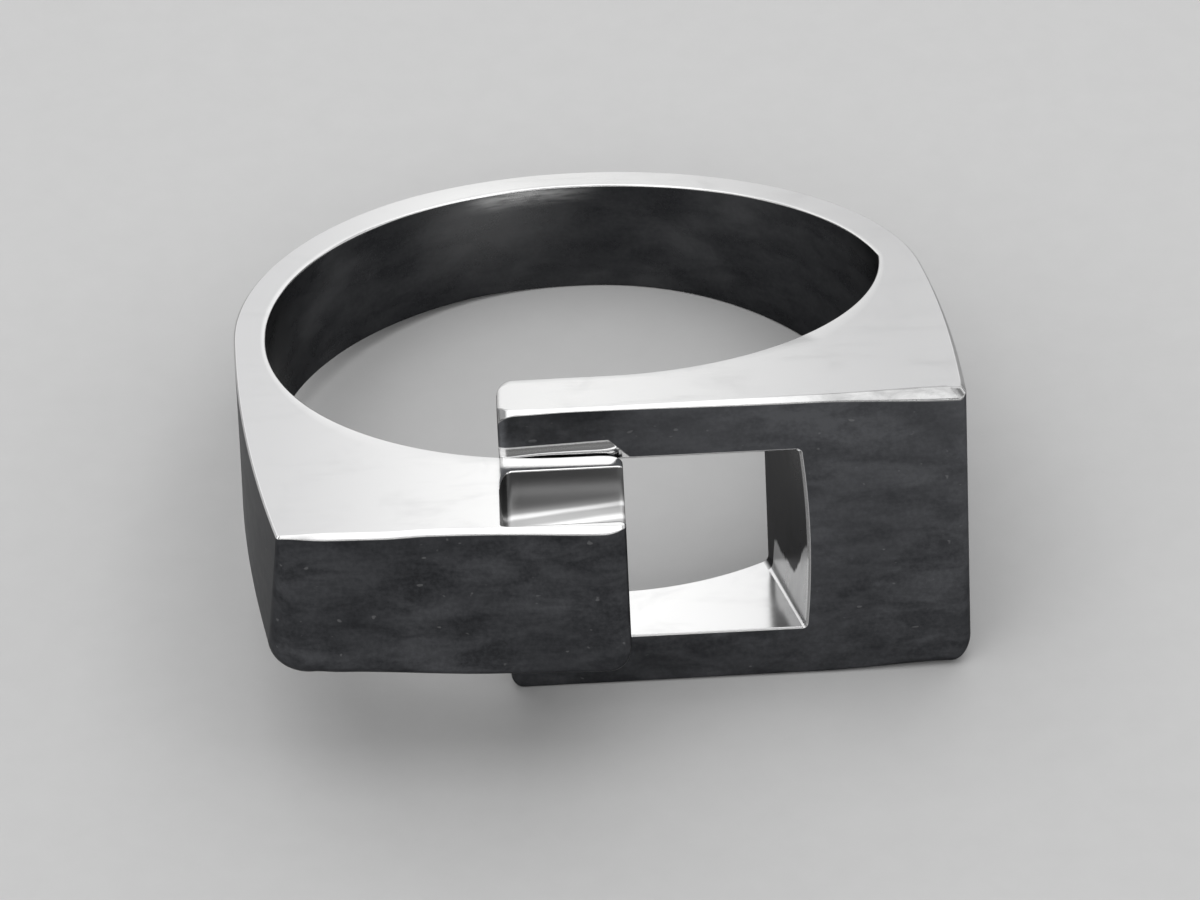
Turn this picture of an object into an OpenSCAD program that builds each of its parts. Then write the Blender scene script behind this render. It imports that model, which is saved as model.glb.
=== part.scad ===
// Adjustable open ring, cast in one piece.
// A narrow band runs round the back of the finger. It grows into a tall wide arm on the right, which has a
// window cut through its flat front, and into a lower narrow arm on the left, which passes in front of the
// wide arm and ends in a scooped trough. The two arms stay apart, so the band can be bent to fit.
// The ring is drawn about its finger hole: X to the right, Y to the back, Z along the finger.
// It is then tipped to lie on the wide arm's lower side, as it rests on a table.

/* [Finger hole] */
// Radius of the round back of the finger hole
hole_r = 9.3; // [9:0.05:9.6]
// How far the hole's right half is moved out from its left half
hole_bulge = 0.3; // [0.2:0.05:0.4]
// Thickness of the band at the back
wall = 1.17; // [1:0.01:1.5]
// How far the round outside lies to the right of the hole's centre
wall_shift = 0.2; // [0.1:0.05:0.3]
// Height of the band at the back of the hole, along the finger
back_h = 3.67; // [3.2:0.01:4.2]
// Radius of the slightly curved flanks between the round back and the front corners
flank_r = 75; // [60:1:120]

/* [Wide arm] */
// Distance from the hole's centre to the wide arm's front face
wide_front = 8.78; // [8.6:0.02:9]
// Distance from the hole's centre to the wide arm's flat inner face
wide_inner = 6.33; // [6.1:0.01:6.5]
// Height of the wide arm at its front face
wide_h = 9.67; // [9:0.01:10.5]
// How far the wide arm's front right corner lies to the right
wide_side = 11.35; // [11.1:0.05:11.5]
// How far the wide arm's end reaches past the hole's centre
wide_reach = 2.35; // [2:0.05:2.6]
// Radius of the curve between the wide arm's flat inner face and the round back of the hole
curve_r = 8.43; // [8.3:0.01:8.6]
// How far that curve's centre lies to the right
curve_x = 0.9; // [0.8:0.05:1]

/* [Window] */
// Width of the window at the front face
window_w = 6.3; // [5.8:0.05:6.4]
// Height of the window
window_h = 6.28; // [6:0.02:6.5]
// Position of the window's right edge at the front face
window_right = 6.45; // [6.3:0.05:6.6]
// Slant of the window's right wall, in degrees
window_slant = 14; // [10:0.5:18]

/* [Narrow arm] */
// Gap between the two arms
arm_gap = 0.1; // [0.1:0.05:0.3]
// Height of the narrow arm at its front left corner
narrow_h = 4.65; // [4.4:0.05:5]
// How far the narrow arm's middle is raised there above the wide arm's middle
narrow_rise = 1.29; // [1:0.01:1.6]
// How far the narrow arm's end reaches past the hole's centre
narrow_reach = 1.25; // [1.1:0.05:1.4]
// Position of the front left corner, to the left
corner_x = -9.1; // [-9.3:0.05:-8.9]
// Position of the front left corner, to the front
corner_y = -13; // [-13.2:0.05:-12.8]
// Turn of the narrow arm's front face, in degrees
front_turn = 5.1; // [4:0.1:6]
// Radius of the curve between the narrow arm's flat inner face and the round back of the hole
left_r = 8.65; // [8.5:0.05:8.8]

/* [Trough] */
// Radius of the scooped trough
trough_r = 1.69; // [1.5:0.01:1.75]
// Distance from the hole's centre to the trough's axis
trough_y = 11.34; // [11.3:0.02:11.4]
// Position of the trough's closed left end
trough_end = -2.37; // [-2.6:0.01:-2]

/* [Rounding] */
// Radius of the upright outer corners
corner_r = 0.5; // [0.3:0.05:0.7]
// Radius of the small upright corners at the arms' ends
end_r = 0.35; // [0.2:0.05:0.45]
// Radius of the lower edge at the wide arm's end
wide_heel_r = 0.5; // [0.3:0.05:0.6]
// Radius of the lower edge at the narrow arm's end
narrow_heel_r = 0.7; // [0.5:0.05:0.8]
// Radius of the lower edges of both flanks near the front corners
flank_heel_r = 0.9; // [0.6:0.05:1]

/* [Hidden] */
$fn = 96;
outer_r = hole_r + wall;
outer_c = [wall_shift, 0];
// Both halves share their side faces behind this line, and turn away from each other in front of it
pivot_y = hole_r;
// The two halves run this far into each other at the back
lap = 0.2;
// Larger than any part of the ring
far = 100;

// Slope of the wide half's side faces
wide_taper = atan((wide_h - back_h) / 2 / (pivot_y + wide_front));
// Slopes of the narrow half's upper and lower faces
narrow_depth = pivot_y - corner_y;
narrow_up = atan((narrow_rise + (narrow_h - back_h) / 2) / narrow_depth);
narrow_down = atan((narrow_rise - (narrow_h - back_h) / 2) / narrow_depth);

// Inner curves of the two arms
narrow_inner = wide_front + arm_gap;
curve_c = [curve_x, curve_r - wide_inner];
left_c = [left_r - hole_r, left_r - narrow_inner];
// Front corners: wide arm, and the narrow arm's left and right ones
wide_corner = [wide_side, -wide_front];
corner = [corner_x, corner_y];
tip = [narrow_reach, corner_y - (narrow_reach - corner_x) * tan(front_turn)];

// Resting place: tipped onto the wide half's lower side, with the box's middle over the origin
rest_x = -(wide_side + wall_shift - outer_r) / 2;
back_low = back_h / 2 - wall * tan(wide_taper);
back_reach = outer_r * cos(wide_taper) + back_low * sin(wide_taper);
tip_low = -back_h / 2 + (pivot_y - tip[1]) * tan(narrow_down);
front_reach = tip[1] * cos(wide_taper) + tip_low * sin(wide_taper);
rest_y = -(back_reach + front_reach) / 2;
rest_z = pivot_y * sin(wide_taper) + back_h / 2 * cos(wide_taper);

// Unit direction from one point to another
function toward(a, b) = (b - a) / norm(b - a);

// A flank is part of a large disc that holds the outer circle, touches it, and has a front corner on its edge.
// This is the direction in which the two touch, seen from the outer circle's centre.
function flank_touch(corner, side) =
    let (v = corner - outer_c, k = flank_r - outer_r)
    atan2(v[1], v[0]) + side * acos((flank_r * flank_r - k * k - v * v) / (2 * k * norm(v)));

// How far back a flank begins
function flank_top(corner, side) = outer_c[1] + outer_r * sin(flank_touch(corner, side));

// The centre of its disc
function flank_c(corner, side) =
    let (turn = flank_touch(corner, side))
    outer_c - (flank_r - outer_r) * [cos(turn), sin(turn)];

// The flank's direction at the corner, toward the back
function flank_back(corner, side) =
    let (u = toward(flank_c(corner, side), corner))
    side * [-u[1], u[0]];

// That direction as an angle from +Y
function flank_turn(corner, side) =
    let (v = flank_back(corner, side))
    atan2(-v[0], v[1]);

// The sliver outside a rounding of radius r at corner p, whose edges run to a and b
module sliver(p, a, b, r) {
    u = toward(p, a);
    v = toward(p, b);
    half = acos(u * v) / 2;
    centre = p + (u + v) / norm(u + v) * r / sin(half);
    difference() {
        polygon([p - (u + v) * r, p + u * r / tan(half), centre, p + v * r / tan(half)]);
        translate(centre) circle(r);
    }
}

// Cutting bar that rounds the lower edge through p, where a lower face of this slope meets an upright wall.
// At turn 0 the wall faces left and the edge runs along Y.
module lower_round(p, turn, slope, r) {
    low = -back_h / 2 - (pivot_y - p[1]) * tan(slope);
    translate([p[0], p[1], low]) rotate([slope * cos(turn), 0, turn])
        rotate([90, 0, 0]) linear_extrude(far, center = true) difference() {
            translate([-1, -1]) square(1 + r);
            translate([r, r]) circle(r);
        }
}

// Everything between the side faces, seen along X, with a slope above and a slope below for the front
module side_faces(up, down) {
    top = back_h / 2;
    end = top - 2 * wall * tan(wide_taper);
    rotate([90, 0, 90]) linear_extrude(2 * far, center = true) polygon([
        [pivot_y - far, top + far * tan(up)],
        [pivot_y, top],
        [pivot_y + 2 * wall, end],
        [pivot_y + 2 * wall, -end],
        [pivot_y, -top],
        [pivot_y - far, -top - far * tan(down)]
    ]);
}

// Finger hole as the wide arm bounds it: the round back and the arm's curve meet in a blunt corner
module wide_hole() {
    intersection() {
        translate([hole_bulge, 0]) circle(hole_r);
        translate(curve_c) circle(curve_r);
    }
    square([hole_bulge, hole_r]);
    translate([-far, -wide_inner]) square([far + curve_x, wide_inner]);
}

// Finger hole as the narrow arm bounds it
module narrow_hole() {
    intersection() {
        circle(hole_r);
        translate([-far, 0]) square(far);
    }
    square([far, hole_r]);
    translate(left_c) circle(left_r);
    translate([-hole_r, left_c[1]]) square([far, -left_c[1]]);
    translate([left_c[0], -narrow_inner]) square([far, narrow_inner]);
}

// Plan of the right half: band, shoulder and wide arm
module wide_plan() {
    heel = [-wide_reach, -wide_inner];
    difference() {
        union() {
            intersection() {
                translate(outer_c) circle(outer_r);
                square(far);
            }
            intersection() {
                translate(flank_c(wide_corner, 1)) circle(flank_r);
                translate([-wide_reach, -wide_front])
                    square([far, wide_front + flank_top(wide_corner, 1)]);
            }
        }
        wide_hole();
        sliver(wide_corner, wide_corner + flank_back(wide_corner, 1), [0, -wide_front], corner_r);
        sliver(heel, [0, -wide_inner], [-wide_reach, -wide_front], end_r);
    }
}

// Plan of the left half: band, flank and narrow arm
module narrow_plan() {
    top = flank_top(corner, -1);
    difference() {
        union() {
            intersection() {
                translate(outer_c) circle(outer_r);
                translate([lap - far, -far / 2]) square(far);
            }
            intersection() {
                translate(flank_c(corner, -1)) circle(flank_r);
                polygon([[tip[0], top], [-far, top], corner + 2 * (corner - tip), tip]);
            }
        }
        narrow_hole();
        sliver(corner, corner + flank_back(corner, -1), tip, corner_r);
        sliver(tip, corner, [tip[0], 0], end_r);
    }
}

// Window through the wide arm, with its right wall slanted toward the hole
module window() {
    lean = tan(window_slant);
    left = window_right - window_w;
    linear_extrude(window_h, center = true) polygon([
        [left, -wide_front - 1],
        [window_right + lean, -wide_front - 1],
        [window_right - (wide_front - 2) * lean, -2],
        [left, -2]
    ]);
}

// Trough in the upper side of the narrow arm, open at the arm's end and rounded at its closed end
module trough() {
    axis_z = back_h / 2 + (pivot_y + trough_y) * tan(narrow_up);
    soft = 0.3;
    translate([trough_end, -trough_y, axis_z]) rotate([0, 90, 0]) rotate_extrude() {
        translate([0, soft]) square([trough_r, 6]);
        square([trough_r - soft, 1]);
        translate([trough_r - soft, soft]) circle(soft);
    }
}

// Right half with its window
module wide_half() {
    difference() {
        intersection() {
            linear_extrude(far, center = true) wide_plan();
            side_faces(wide_taper, wide_taper);
        }
        window();
        lower_round([-wide_reach, -wide_front], 0, wide_taper, wide_heel_r);
        lower_round(wide_corner, 180 + flank_turn(wide_corner, 1), wide_taper, flank_heel_r);
    }
}

// Left half with its trough
module narrow_half() {
    difference() {
        intersection() {
            linear_extrude(far, center = true) narrow_plan();
            side_faces(narrow_up, -narrow_down);
        }
        trough();
        lower_round(tip, 180, -narrow_down, narrow_heel_r);
        lower_round(corner, flank_turn(corner, -1), -narrow_down, flank_heel_r);
    }
}

// The whole ring, one solid, as it rests
module ring() {
    color("silver") translate([rest_x, rest_y, rest_z]) rotate([-wide_taper, 0, 0]) {
        wide_half();
        narrow_half();
    }
}

ring();
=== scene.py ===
# %% [markdown]
# # An adjustable open ring in polished and satin silver
# The ring is one casting: a narrow band round the back of the finger that grows into two arms in front. The
# wide arm has a window cut through it, and the narrow arm passes in front of it and ends in a scooped trough.
# The solid model gives the place and the size. Here the surface gets what a hand-finished casting shows: flat
# bevels that are wider in one place than in another, rolled ends, satin walls and mirror-bright side faces.

# %% Load the fixed frame
import math
from types import SimpleNamespace

import bmesh
import bpy
import numpy as np
from mathutils import Matrix, Vector


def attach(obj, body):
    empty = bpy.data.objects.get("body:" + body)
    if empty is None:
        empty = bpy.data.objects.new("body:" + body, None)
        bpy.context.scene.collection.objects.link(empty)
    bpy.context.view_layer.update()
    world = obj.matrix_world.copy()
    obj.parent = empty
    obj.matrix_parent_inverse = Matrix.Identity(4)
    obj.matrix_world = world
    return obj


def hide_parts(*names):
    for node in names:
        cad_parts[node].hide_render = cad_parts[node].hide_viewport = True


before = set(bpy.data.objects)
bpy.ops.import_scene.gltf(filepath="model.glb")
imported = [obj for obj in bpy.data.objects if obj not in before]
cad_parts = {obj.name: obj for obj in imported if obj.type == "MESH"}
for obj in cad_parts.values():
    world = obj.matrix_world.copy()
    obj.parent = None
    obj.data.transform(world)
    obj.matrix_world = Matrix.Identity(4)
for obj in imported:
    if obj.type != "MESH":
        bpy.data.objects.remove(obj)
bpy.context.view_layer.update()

# %% [markdown]
# The ring is easiest to describe about its finger hole: X to the right, Y to the back, Z along the finger, in
# millimetres. It lies on the lower side of the wide arm, so the whole drawing is tipped by that side's slope
# and lifted until the side touches the floor. The sizes are those of the solid model.

# %% Driving sizes in millimetres and degrees
HOLE_R = 9.3
HOLE_BULGE = 0.3
WALL = 1.17
WALL_SHIFT = 0.2
BACK_H = 3.67
FLANK_R = 75.0
WIDE_FRONT = 8.78
WIDE_INNER = 6.33
WIDE_H = 9.67
WIDE_SIDE = 11.35
WIDE_REACH = 2.35
CURVE_R = 8.43
CURVE_X = 0.9
WINDOW_W = 6.3
WINDOW_H = 6.28
WINDOW_RIGHT = 6.45
WINDOW_SLANT = 14.0
ARM_GAP = 0.1
NARROW_H = 4.65
NARROW_RISE = 1.29
NARROW_REACH = 1.25
CORNER = np.array([-9.1, -13.0])
FRONT_TURN = 5.1
LEFT_R = 8.65
TROUGH_R = 1.69
TROUGH_Y = 11.34
TROUGH_END = -2.37

OUTER_R = HOLE_R + WALL
OUTER_C = np.array([WALL_SHIFT, 0.0])
NARROW_INNER = WIDE_FRONT + ARM_GAP
CURVE_C = np.array([CURVE_X, CURVE_R - WIDE_INNER])
LEFT_C = np.array([LEFT_R - HOLE_R, LEFT_R - NARROW_INNER])
WIDE_CORNER = np.array([WIDE_SIDE, -WIDE_FRONT])
TIP = np.array([NARROW_REACH, CORNER[1] - (NARROW_REACH - CORNER[0]) * math.tan(math.radians(FRONT_TURN))])

# Slopes of the side faces, as rise per millimetre toward the front
WIDE_SLOPE = (WIDE_H - BACK_H) / 2 / (HOLE_R + WIDE_FRONT)
NARROW_UP = (NARROW_RISE + (NARROW_H - BACK_H) / 2) / (HOLE_R - CORNER[1])
NARROW_DOWN = (NARROW_RISE - (NARROW_H - BACK_H) / 2) / (HOLE_R - CORNER[1])
TIPPED = math.atan(WIDE_SLOPE)
print("the ring is tipped by", round(math.degrees(TIPPED), 2), "degrees")

# %% From the ring's drawing to the floor
def resting_place():
    """Where the finger hole's centre lies above the floor, in millimetres.

    The wide half's lower side touches the floor, and the middle of the box is over the origin."""
    sine, cosine = math.sin(TIPPED), math.cos(TIPPED)
    back = OUTER_R * cosine + (BACK_H / 2 - WALL * WIDE_SLOPE) * sine
    tip_low = -BACK_H / 2 + (HOLE_R - TIP[1]) * NARROW_DOWN
    front = TIP[1] * cosine + tip_low * sine
    side = -(WIDE_SIDE + WALL_SHIFT - OUTER_R) / 2
    return np.array([side, -(back + front) / 2, HOLE_R * sine + BACK_H / 2 * cosine])


REST = resting_place()
TIP_TURN = np.array(
    [
        [1, 0, 0],
        [0, math.cos(TIPPED), math.sin(TIPPED)],
        [0, -math.sin(TIPPED), math.cos(TIPPED)],
    ]
)


def to_world(points):
    """Points of the drawing, in millimetres, turned and moved to where the ring rests, in metres."""
    return (np.asarray(points, float) @ TIP_TURN.T + REST) / 1000


print("hole centre on the floor in mm:", np.round(REST, 3))

# %% [markdown]
# The camera stands where the photograph was taken: a long lens, a little over 30 degrees above the finger
# hole's plane, and rolled slightly. Its numbers come from matching the ring's own corners, and the place is
# worked out from the pixel in which the centre of the finger hole lies.

# %% Camera
FRAME_W, FRAME_H = 1200, 900
LENS_PX = 8026.2
CAMERA_RISE = 32.047
CAMERA_ROLL = -2.814
CAMERA_FAR = 243.58
HOLE_PIXEL = (577.13, 392.15)
SENSOR_MM = 36.0


def camera_place():
    """The camera's axes and place in the drawing.

    It looks along +Y and down by CAMERA_RISE. Right and up are turned by the roll, and the place is the
    hole's centre moved back along the view and aside by the pixel's offset times distance over lens."""
    rise, roll = math.radians(CAMERA_RISE), math.radians(CAMERA_ROLL)
    ahead = np.array([0, math.cos(rise), -math.sin(rise)])
    level, upright = np.array([1.0, 0, 0]), np.array([0, math.sin(rise), math.cos(rise)])
    right = math.cos(roll) * level + math.sin(roll) * upright
    up = -math.sin(roll) * level + math.cos(roll) * upright
    aside = (HOLE_PIXEL[0] - FRAME_W / 2) / LENS_PX * CAMERA_FAR
    above = (FRAME_H / 2 - HOLE_PIXEL[1]) / LENS_PX * CAMERA_FAR
    return right, up, ahead, -(aside * right + above * up + CAMERA_FAR * ahead)


right, up, ahead, place = camera_place()
camera = bpy.data.objects.new("camera", bpy.data.cameras.new("camera"))
bpy.context.scene.collection.objects.link(camera)
camera.data.sensor_fit = "HORIZONTAL"
camera.data.sensor_width = SENSOR_MM
camera.data.lens = LENS_PX / FRAME_W * SENSOR_MM
camera.data.clip_start = 0.01
camera.data.clip_end = 20
turned = TIP_TURN @ np.column_stack([right, up, -ahead])
camera.matrix_world = Matrix.Translation(to_world(place)) @ Matrix(turned.tolist()).to_4x4()
bpy.context.scene.camera = camera
print("camera at", np.round(to_world(place), 4), "m, lens", round(camera.data.lens, 1), "mm")

# %% [markdown]
# Seen from above, the ring has an outer and an inner outline. Both are straight and round stretches, and both
# are walked in the same direction: from the wide arm's end to the right, round the back and to the narrow
# arm's end. A stretch gives points and the direction that points away from the metal.

# %% Straight and round stretches
def straight(start, end, side):
    """A straight stretch. A point is start + share * (end - start)."""
    start, end = np.asarray(start, float), np.asarray(end, float)
    along = (end - start) / np.linalg.norm(end - start)
    away = side * np.array([along[1], -along[0]])
    return {
        "length": float(np.linalg.norm(end - start)),
        "at": lambda share: start + share[:, None] * (end - start),
        "away": lambda share: np.broadcast_to(away, (len(share), 2)),
    }


def round_stretch(centre, radius, start, end, side):
    """A stretch of a circle, anticlockwise from one angle to another in degrees.

    A point is centre + radius * (cos, sin) of the angle, and the way out is that direction times side."""
    centre = np.asarray(centre, float)
    first, turn = math.radians(start), math.radians(end - start)

    def spoke(share):
        """Cosine and sine of the angle that this share of the turn has reached."""
        angle = first + share * turn
        return np.stack([np.cos(angle), np.sin(angle)], -1)

    return {
        "length": radius * turn,
        "at": lambda share: centre + radius * spoke(share),
        "away": lambda share: side * spoke(share),
    }


def starts(path):
    """Distance at which each stretch of a path begins, and the path's length."""
    return np.cumsum([0] + [piece["length"] for piece in path])


def along_path(path, distance):
    """Points and outward directions at these distances along a list of stretches."""
    ends = starts(path)
    points, away = np.zeros((len(distance), 2)), np.zeros((len(distance), 2))
    which = np.clip(np.searchsorted(ends, distance, side="right") - 1, 0, len(path) - 1)
    for number, piece in enumerate(path):
        here = which == number
        share = (distance[here] - ends[number]) / piece["length"]
        points[here], away[here] = piece["at"](share), piece["away"](share)
    return points, away


def angle_of(vector):
    """Angle of a plan vector in degrees, from 0 to 360."""
    return math.degrees(math.atan2(vector[1], vector[0])) % 360


# %% Outer outline
OUTSIDE, INSIDE = 1, -1


def quarter_left(vector):
    """A plan vector turned a quarter turn to the left."""
    return np.array([-vector[1], vector[0]])


def flank(corner, side):
    """A flank is a large circle that touches the round back and runs through a front corner.

    The cosine rule in the triangle of the two centres and the corner gives the touching direction."""
    gap = FLANK_R - OUTER_R
    v = corner - OUTER_C
    reach = math.degrees(math.acos((FLANK_R**2 - gap**2 - v @ v) / (2 * gap * np.linalg.norm(v))))
    touch = angle_of(v) + side * reach
    spoke = np.array([math.cos(math.radians(touch)), math.sin(math.radians(touch))])
    return touch % 360, OUTER_C - gap * spoke


def rounded_corner(corner, come, leave, radius):
    """A rounded outer corner, and how much it takes off each side.

    The centre is on the bisector, and the stretch begins radius * tan(half turn) before the corner and ends
    as far behind it."""
    come, leave = come / np.linalg.norm(come), leave / np.linalg.norm(leave)
    half = math.acos(float(come @ leave)) / 2
    short = radius * math.tan(half)
    left = quarter_left(come)
    start = angle_of(-left)
    end = start + math.degrees(2 * half)
    return round_stretch(corner - come * short + left * radius, radius, start, end, OUTSIDE), short


RIGHT_TOUCH, RIGHT_FLANK_C = flank(WIDE_CORNER, 1)
CORNER_TOP = np.array([-8.82, -13.0])
CORNER_LOW = np.array([-9.15, -13.0])
FRONT_LEAN = 3.0


def outer_path(corner, right_r, left_r):
    """The outer outline. The left front corner is given, and both front corners are rounded."""
    left_touch, left_flank_c = flank(corner, -1)
    forward = (NARROW_REACH - corner[0]) * math.tan(math.radians(FRONT_LEAN))
    tip = np.array([NARROW_REACH, corner[1] - forward])
    spoke = (WIDE_CORNER - RIGHT_FLANK_C) / FLANK_R
    wide_arc, short = rounded_corner(WIDE_CORNER, np.array([1.0, 0]), quarter_left(spoke), right_r)
    right_angle = angle_of(spoke) + math.degrees(short / FLANK_R)
    spoke = (corner - left_flank_c) / FLANK_R
    left_arc, left_short = rounded_corner(corner, quarter_left(spoke), tip - corner, left_r)
    left_angle = angle_of(spoke) - math.degrees(left_short / FLANK_R)
    front = (tip - corner) / np.linalg.norm(tip - corner)
    return [
        straight([-WIDE_REACH, -WIDE_FRONT], WIDE_CORNER - [short, 0], OUTSIDE),
        wide_arc,
        round_stretch(RIGHT_FLANK_C, FLANK_R, right_angle, RIGHT_TOUCH, OUTSIDE),
        round_stretch(OUTER_C, OUTER_R, RIGHT_TOUCH, left_touch, OUTSIDE),
        round_stretch(left_flank_c, FLANK_R, left_touch, left_angle, OUTSIDE),
        left_arc,
        straight(corner + front * left_short, tip, OUTSIDE),
    ]


print("outer outline in mm:", round(sum(p["length"] for p in outer_path(CORNER, 0.5, 0.5)), 2))

# %% Inner outline
BLUNT_R = 1.0


def blunt_corner():
    """Where the hole's round back meets the wide arm's curve: one of the two points on both circles."""
    back = np.array([HOLE_BULGE, 0.0])
    apart = CURVE_C - back
    far = np.linalg.norm(apart)
    along = (HOLE_R**2 - CURVE_R**2 + far**2) / (2 * far)
    across = np.array([apart[1], -apart[0]]) / far
    return back + apart / far * along + across * math.sqrt(HOLE_R**2 - along**2)


def inner_path():
    """The finger hole's outline. The blunt corner in it is softened by a small arc."""
    corner = blunt_corner()
    before, after = angle_of(corner - CURVE_C), angle_of(corner - [HOLE_BULGE, 0])
    turn = after - before
    short = BLUNT_R * math.tan(math.radians(turn / 2))
    spoke = np.array([math.cos(math.radians(before)), math.sin(math.radians(before))])
    along = quarter_left(spoke)
    soft_c = corner - along * short - spoke * BLUNT_R
    return [
        straight([-WIDE_REACH, -WIDE_INNER], [CURVE_X, -WIDE_INNER], INSIDE),
        round_stretch(CURVE_C, CURVE_R, -90, before - math.degrees(short / CURVE_R), INSIDE),
        round_stretch(soft_c, BLUNT_R, before, after, INSIDE),
        round_stretch([HOLE_BULGE, 0], HOLE_R, after + math.degrees(short / HOLE_R), 90, INSIDE),
        straight([HOLE_BULGE, HOLE_R], [0, HOLE_R], INSIDE),
        round_stretch([0, 0], HOLE_R, 90, 180, INSIDE),
        straight([-HOLE_R, 0], [-HOLE_R, LEFT_C[1]], INSIDE),
        round_stretch(LEFT_C, LEFT_R, 180, 270, INSIDE),
        straight([LEFT_C[0], -NARROW_INNER], [NARROW_REACH, -NARROW_INNER], INSIDE),
    ]


print("blunt corner of the hole at", np.round(blunt_corner(), 3), "mm")

# %% [markdown]
# The surface is a closed section carried along the band. At each station one point of the outer outline is
# paired with one of the inner outline, and the section stands upright between the two. Pairs are named where
# something begins: an arm's end, the window, a corner, the trough. Between them both outlines are walked in
# equal steps, and toward an arm's end the steps get shorter, so that its rolled edges come out round.

# %% Pair the two outlines
TOP_CORNERS = (CORNER_TOP, 0.2, 0.1)
LOW_CORNERS = (CORNER_LOW, 0.5, 1.2)
MARGIN = 0.4
WIDE_ROLL, NARROW_ROLL = 0.55, 0.75
TROUGH_SOFT = 0.36
FACET_X = -7.4
FINE = 4001
SETTLING_ROUNDS = 12

# Numbers of the stretches that pairs are placed on: three of the outer outline, four of the inner one
WIDE_FACE, ROUND_BACK, NARROW_FACE = 0, 3, 6
HOLE_FLAT, HOLE_CURVE, HOLE_LEFT, HOLE_END = 0, 1, 7, 8


def distance_at_x(path, stretch, x):
    """Distance along the path at which one of its stretches reaches this X."""
    share = np.linspace(0, 1, FINE)
    found = path[stretch]["at"](share)[:, 0]
    order = np.argsort(found)
    return starts(path)[stretch] + np.interp(x, found[order], share[order]) * path[stretch]["length"]


def distance_at_angle(path, stretch, centre, angle):
    """Distance along the path at which a round stretch reaches this angle about its centre."""
    share = np.linspace(0, 1, FINE)
    points = path[stretch]["at"](share) - centre
    found = np.degrees(np.unwrap(np.arctan2(points[:, 1], points[:, 0])))
    wanted = found[0] + (angle - found[0]) % 360
    return starts(path)[stretch] + np.interp(wanted, found, share) * path[stretch]["length"]


WINDOW_LEFT = WINDOW_RIGHT - WINDOW_W
LEAN = math.tan(math.radians(WINDOW_SLANT))


def inner_front(x):
    """How far front the hole's wall lies in the wide arm at this X: flat, and then on the arm's curve."""
    past = np.maximum(x - CURVE_X, 0)
    return CURVE_C[1] - np.sqrt(CURVE_R**2 - past**2)


def window_back(share):
    """X at which a line of the window's wall reaches the hole.

    share is 0 at the left wall and 1 at the slanted right wall, which leans toward the hole. The depth
    there depends on X again, so the formula is repeated until X settles."""
    x = WINDOW_LEFT + share * WINDOW_W
    for _ in range(SETTLING_ROUNDS):
        x = WINDOW_LEFT + share * (WINDOW_W - (inner_front(x) + WIDE_FRONT) * LEAN)
    return x


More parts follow.
